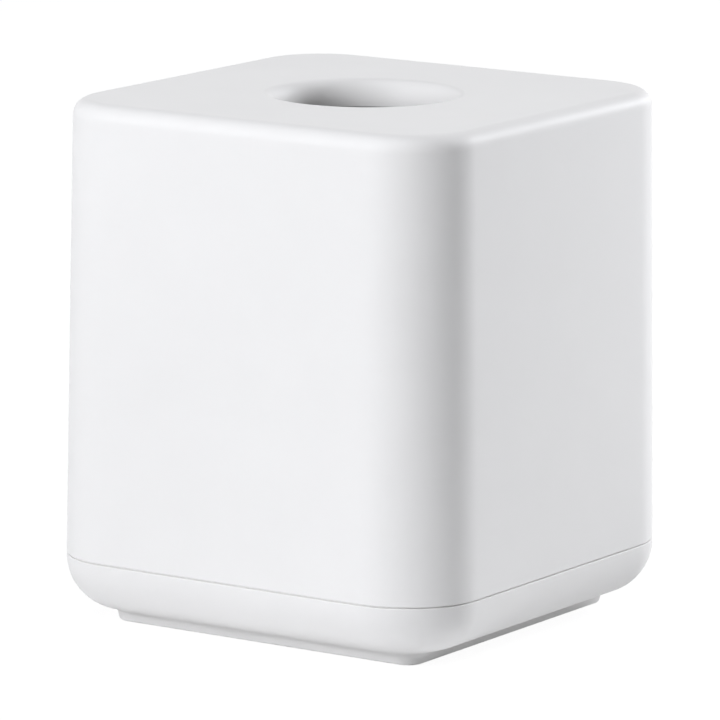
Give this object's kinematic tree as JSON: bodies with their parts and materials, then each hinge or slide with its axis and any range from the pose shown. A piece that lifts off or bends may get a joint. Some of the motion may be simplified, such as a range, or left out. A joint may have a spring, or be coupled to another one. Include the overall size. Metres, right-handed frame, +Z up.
{
  "type": "tissue box holder",
  "caption": "Square upright tissue box holder: a moulded cover with a round dispensing opening lifts off a rounded base on a recessed plinth with anti-slip pads.",
  "frame": {"origin": "on the standing surface under the foot pads, midway between the four sides", "axes": "+Z up along the holder's upright axis through the round opening, -Y out of the front side, +X out of the right side"},
  "size_m": [0.135, 0.135, 0.1509],
  "materials": {
    "shell_plastic": "fine satin moulded white",
    "base_plastic": "fine satin moulded white",
    "pad_rubber": "matte soft grey"
  },
  "bodies": {
    "base_body": {"base": "base_plastic", "foot_pad_1": "pad_rubber", "foot_pad_2": "pad_rubber", "foot_pad_3": "pad_rubber", "foot_pad_4": "pad_rubber"},
    "cover_body": {"cover": "shell_plastic"}
  },
  "joints": [
    {"name": "cover_lift", "type": "slide", "parent": "base_body", "child": "cover_body", "axis": [0, 0, 1], "range_m": [0, 0.14]}
  ]
}
